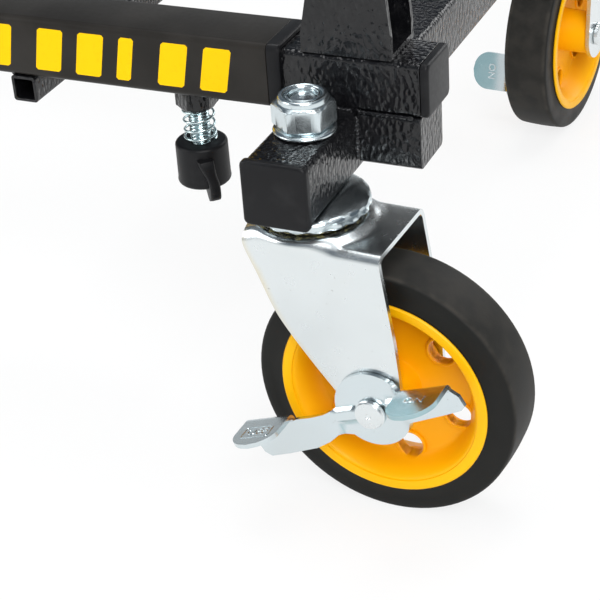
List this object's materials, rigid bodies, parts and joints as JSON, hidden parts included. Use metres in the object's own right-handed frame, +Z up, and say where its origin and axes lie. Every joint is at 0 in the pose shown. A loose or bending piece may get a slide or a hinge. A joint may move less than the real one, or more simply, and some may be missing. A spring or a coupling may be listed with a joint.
{
  "type": "equipment cart",
  "caption": "Folding equipment cart: telescoping rails, U-shaped handles that fold flat, braked swivel casters in front and larger fixed wheels behind.",
  "frame": {"origin": "on the floor, under the middle of the cart's overall length and width", "axes": "+X forward to the swivel casters, +Y to the cart's left, +Z up"},
  "size_m": [0.876, 0.5537, 0.8512],
  "materials": {
    "hammered_black": "hammered gloss black powder coat",
    "satin_black": "smooth satin black powder coat",
    "black_plastic": "moulded black plastic",
    "zinc_plate": "bright blue-white zinc plate",
    "tyre_rubber": "solid black rubber",
    "yellow_plastic": "moulded yellow plastic"
  },
  "bodies": {
    "rear_frame": {"outer_rail_right": "satin_black", "outer_rail_left": "satin_black", "rail_collar_right": "black_plastic", "rail_collar_left": "black_plastic", "rail_end_cap_right": "black_plastic", "rail_end_cap_left": "black_plastic", "cross_tube": "hammered_black", "weld_nut_right": "hammered_black", "weld_nut_left": "hammered_black", "clamp_spring_right": "zinc_plate", "clamp_spring_left": "zinc_plate", "axle_plate_right": "hammered_black", "axle_plate_left": "hammered_black", "axle_tube": "hammered_black", "rear_axle": "zinc_plate", "axle_cap_right": "zinc_plate", "axle_cap_left": "zinc_plate", "rear_bracket_right": "hammered_black", "rear_bracket_left": "hammered_black"},
    "front_frame": {"inner_rail_right": "hammered_black", "inner_rail_left": "hammered_black", "nose_cap_right": "black_plastic", "nose_cap_left": "black_plastic", "nose_block_right": "hammered_black", "nose_block_left": "hammered_black", "caster_beam": "hammered_black", "beam_cap_right": "black_plastic", "beam_cap_left": "black_plastic", "kingpin_right": "zinc_plate", "kingpin_left": "zinc_plate", "stem_nut_right": "zinc_plate", "stem_nut_left": "zinc_plate", "bearing_dish_right": "zinc_plate", "bearing_dish_left": "zinc_plate", "front_bracket_right": "hammered_black", "front_bracket_left": "hammered_black"},
    "rear_wheel_right": {"rear_right_tyre": "tyre_rubber", "rear_right_rim": "yellow_plastic"},
    "rear_wheel_left": {"rear_left_tyre": "tyre_rubber", "rear_left_rim": "yellow_plastic"},
    "rail_clamp_knob_right": {"clamp_knob_right": "black_plastic", "clamp_screw_right": "zinc_plate"},
    "rail_clamp_knob_left": {"clamp_knob_left": "black_plastic", "clamp_screw_left": "zinc_plate"},
    "rear_handle_frame": {"rear_handle": "hammered_black"},
    "front_handle_frame": {"front_handle": "hammered_black"},
    "rear_wing_screw_right": {"rear_handle_screw_right": "black_plastic"},
    "rear_wing_screw_left": {"rear_handle_screw_left": "black_plastic"},
    "front_wing_screw_right": {"front_handle_screw_right": "black_plastic"},
    "front_wing_screw_left": {"front_handle_screw_left": "black_plastic"},
    "caster_right": {"caster_fork_right": "zinc_plate", "caster_axle_right": "zinc_plate"},
    "caster_left": {"caster_fork_left": "zinc_plate", "caster_axle_left": "zinc_plate"},
    "caster_wheel_right": {"caster_right_tyre": "tyre_rubber", "caster_right_rim": "yellow_plastic"},
    "caster_wheel_left": {"caster_left_tyre": "tyre_rubber", "caster_left_rim": "yellow_plastic"},
    "caster_brake_right": {"brake_lever_right": "zinc_plate"},
    "caster_brake_left": {"brake_lever_left": "zinc_plate"}
  },
  "joints": [
    {"name": "frame_extend", "type": "slide", "parent": "rear_frame", "child": "front_frame", "axis": [1, 0, 0], "range_m": [0, 0.45]},
    {"name": "rear_wheel_right_spin", "type": "hinge", "parent": "rear_frame", "child": "rear_wheel_right", "pos_m": [-0.30331, -0.2334, 0.1015], "axis": [0, 1, 0], "continuous": true},
    {"name": "rear_wheel_left_spin", "type": "hinge", "parent": "rear_frame", "child": "rear_wheel_left", "pos_m": [-0.30331, 0.2334, 0.1015], "axis": [0, 1, 0], "continuous": true},
    {"name": "clamp_turn_right", "type": "hinge", "parent": "rear_frame", "child": "rail_clamp_knob_right", "pos_m": [0.26539, -0.1864, 0.1545], "axis": [0, 0, -1], "range_deg": [0, 720]},
    {"name": "clamp_turn_left", "type": "hinge", "parent": "rear_frame", "child": "rail_clamp_knob_left", "pos_m": [0.26539, 0.1864, 0.1545], "axis": [0, 0, -1], "range_deg": [0, 720]},
    {"name": "rear_handle_fold", "type": "hinge", "parent": "rear_frame", "child": "rear_handle_frame", "pos_m": [-0.36531, 0, 0.23], "axis": [0, 1, 0], "range_deg": [0, 96]},
    {"name": "front_handle_fold", "type": "hinge", "parent": "front_frame", "child": "front_handle_frame", "pos_m": [0.34769, 0, 0.2535], "axis": [0, -1, 0], "range_deg": [0, 96]},
    {"name": "rear_wing_screw_right_turn", "type": "hinge", "parent": "rear_frame", "child": "rear_wing_screw_right", "pos_m": [-0.36531, -0.1864, 0.23], "axis": [0, -1, 0], "range_deg": [0, 360]},
    {"name": "rear_wing_screw_left_turn", "type": "hinge", "parent": "rear_frame", "child": "rear_wing_screw_left", "pos_m": [-0.36531, 0.1864, 0.23], "axis": [0, 1, 0], "range_deg": [0, 360]},
    {"name": "front_wing_screw_right_turn", "type": "hinge", "parent": "front_frame", "child": "front_wing_screw_right", "pos_m": [0.34769, -0.1864, 0.2535], "axis": [0, -1, 0], "range_deg": [0, 360]},
    {"name": "front_wing_screw_left_turn", "type": "hinge", "parent": "front_frame", "child": "front_wing_screw_left", "pos_m": [0.34769, 0.1864, 0.2535], "axis": [0, 1, 0], "range_deg": [0, 360]},
    {"name": "caster_right_swivel", "type": "hinge", "parent": "front_frame", "child": "caster_right", "pos_m": [0.33669, -0.223, 0.1459], "axis": [0, 0, 1], "continuous": true},
    {"name": "caster_left_swivel", "type": "hinge", "parent": "front_frame", "child": "caster_left", "pos_m": [0.33669, 0.223, 0.1459], "axis": [0, 0, 1], "continuous": true},
    {"name": "caster_right_spin", "type": "hinge", "parent": "caster_right", "child": "caster_wheel_right", "pos_m": [0.37444, -0.22478, 0.0635], "axis": [0.0471, 0.9989, 0], "continuous": true},
    {"name": "caster_left_spin", "type": "hinge", "parent": "caster_left", "child": "caster_wheel_left", "pos_m": [0.33398, 0.1853, 0.0635], "axis": [0.9974, -0.0715, 0], "continuous": true},
    {"name": "brake_right_press", "type": "hinge", "parent": "caster_right", "child": "caster_brake_right", "pos_m": [0.37444, -0.22478, 0.0635], "axis": [0.0471, 0.9989, 0], "range_deg": [0, 96]},
    {"name": "brake_left_press", "type": "hinge", "parent": "caster_left", "child": "caster_brake_left", "pos_m": [0.33398, 0.1853, 0.0635], "axis": [0.9974, -0.0715, 0], "range_deg": [-96, 0]}
  ]
}
